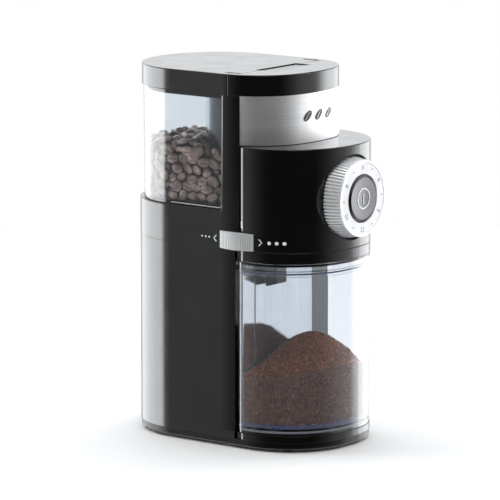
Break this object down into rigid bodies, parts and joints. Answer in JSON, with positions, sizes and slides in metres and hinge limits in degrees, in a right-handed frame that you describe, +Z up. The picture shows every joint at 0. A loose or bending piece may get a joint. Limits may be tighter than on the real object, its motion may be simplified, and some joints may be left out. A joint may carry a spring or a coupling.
{
  "type": "burr coffee grinder",
  "caption": "Black burr coffee grinder with a clear bean hopper behind, a round dose dial with start button and a clear pull-out grounds container below.",
  "frame": {"origin": "on the table plane, on the plane of symmetry, at mid depth of the body without the dial", "axes": "+Z up, -Y to the front with dial and container, the grind slider is on the -X side"},
  "size_m": [0.1102, 0.1733, 0.25],
  "materials": {
    "black_gloss": "gloss",
    "black_matte": "satin",
    "inner_plastic": "satin",
    "clear": "clear gloss",
    "steel_brushed": "brushed",
    "steel": "machined",
    "burr_steel": "ground",
    "silver": "silver paint",
    "white": "satin",
    "light_grey": "satin",
    "rubber": "matt",
    "brass": "plain",
    "copper_iron": "lacquered",
    "board": "satin"
  },
  "bodies": {
    "housing": {"base_plate": "black_matte", "rubber_feet": "rubber", "base_screws": "steel", "cord_gland": "rubber", "cord_clamp": "black_matte", "lower_housing": "black_gloss", "bay_liner": "steel_brushed", "upper_housing": "black_gloss", "front_housing": "black_gloss", "drum_underside": "black_gloss", "steel_band": "steel_brushed", "top_cap": "black_gloss", "gear_plate": "steel", "gear_plate_screws": "steel", "motor_can": "steel", "motor_magnets": "copper_iron", "motor_end_cap": "black_matte", "motor_screws": "steel", "motor_mount_rings": "rubber", "lower_bearing": "brass", "upper_bearing": "brass", "grinding_chamber": "black_matte", "chamber_screws": "steel", "discharge_chute": "black_matte", "retaining_ring": "inner_plastic", "retaining_screws": "steel", "dose_timer": "inner_plastic", "timer_screws": "steel", "start_switch": "black_matte", "control_board": "board", "board_components": "black_matte", "hopper_switch": "black_matte", "container_switch": "black_matte", "button_spring": "steel"},
    "grind_slider": {"slider_grip": "light_grey", "adjuster_rack": "inner_plastic"},
    "adjusting_ring": {"adjusting_ring": "inner_plastic"},
    "upper_burr": {"burr_carrier": "inner_plastic", "upper_burr": "burr_steel", "upper_burr_screws": "steel"},
    "burr_spindle": {"burr_spindle": "steel", "burr_hub": "inner_plastic", "lower_burr": "burr_steel", "hub_nut": "steel", "output_gear": "inner_plastic"},
    "motor_rotor": {"motor_shaft": "steel", "motor_armature": "copper_iron", "motor_commutator": "brass", "cooling_fan": "inner_plastic", "motor_pinion": "brass"},
    "bean_hopper": {"hopper_bowl": "clear"},
    "hopper_lid": {"hopper_lid": "black_gloss", "lid_seal": "rubber"},
    "grounds_container": {"container_bowl": "clear", "container_lid": "clear", "lid_spout": "black_matte"},
    "dose_dial": {"dial_knob": "silver", "dial_face": "white", "dial_shaft": "inner_plastic"},
    "start_button": {"start_button": "silver"}
  },
  "joints": [
    {"name": "hopper_lift", "type": "slide", "parent": "housing", "child": "bean_hopper", "axis": [0, 0, 1], "range_m": [0, 0.095]},
    {"name": "lid_lift", "type": "slide", "parent": "bean_hopper", "child": "hopper_lid", "axis": [0, 0, 1], "range_m": [0, 0.03]},
    {"name": "container_slide", "type": "slide", "parent": "housing", "child": "grounds_container", "axis": [0, -1, 0], "range_m": [0, 0.085]},
    {"name": "dial_turn", "type": "hinge", "parent": "housing", "child": "dose_dial", "pos_m": [0, -0.084, 0.168], "axis": [0, 1, 0], "range_deg": [-120, 180]},
    {"name": "button_press", "type": "slide", "parent": "housing", "child": "start_button", "axis": [0, 1, 0], "range_m": [0, 0.0025], "stiffness_N_per_m": 400, "springref_m": -0.0025, "deforming": ["button_spring"]},
    {"name": "grind_adjust", "type": "slide", "parent": "housing", "child": "grind_slider", "axis": [0, 1, 0], "range_m": [-0.006, 0.006]},
    {"name": "ring_turn", "type": "hinge", "parent": "housing", "child": "adjusting_ring", "pos_m": [0, 0.04, 0.142], "axis": [0, 0, 1], "range_deg": [-9.8, 9.8]},
    {"name": "burr_rise", "type": "slide", "parent": "housing", "child": "upper_burr", "axis": [0, 0, 1], "range_m": [-0.00031, 0.00031]},
    {"name": "burr_spin", "type": "hinge", "parent": "housing", "child": "burr_spindle", "pos_m": [0, 0.04, 0.108], "axis": [0, 0, 1], "continuous": true},
    {"name": "motor_spin", "type": "hinge", "parent": "housing", "child": "motor_rotor", "pos_m": [0, 0.003, 0.06], "axis": [0, 0, 1], "continuous": true}
  ],
  "couplings": [
    {"joint": "ring_turn", "follows": "grind_adjust", "rad_per_m": -27.778},
    {"joint": "burr_rise", "follows": "grind_adjust", "ratio": -0.05},
    {"joint": "motor_spin", "follows": "burr_spin", "ratio": -4.2857}
  ]
}
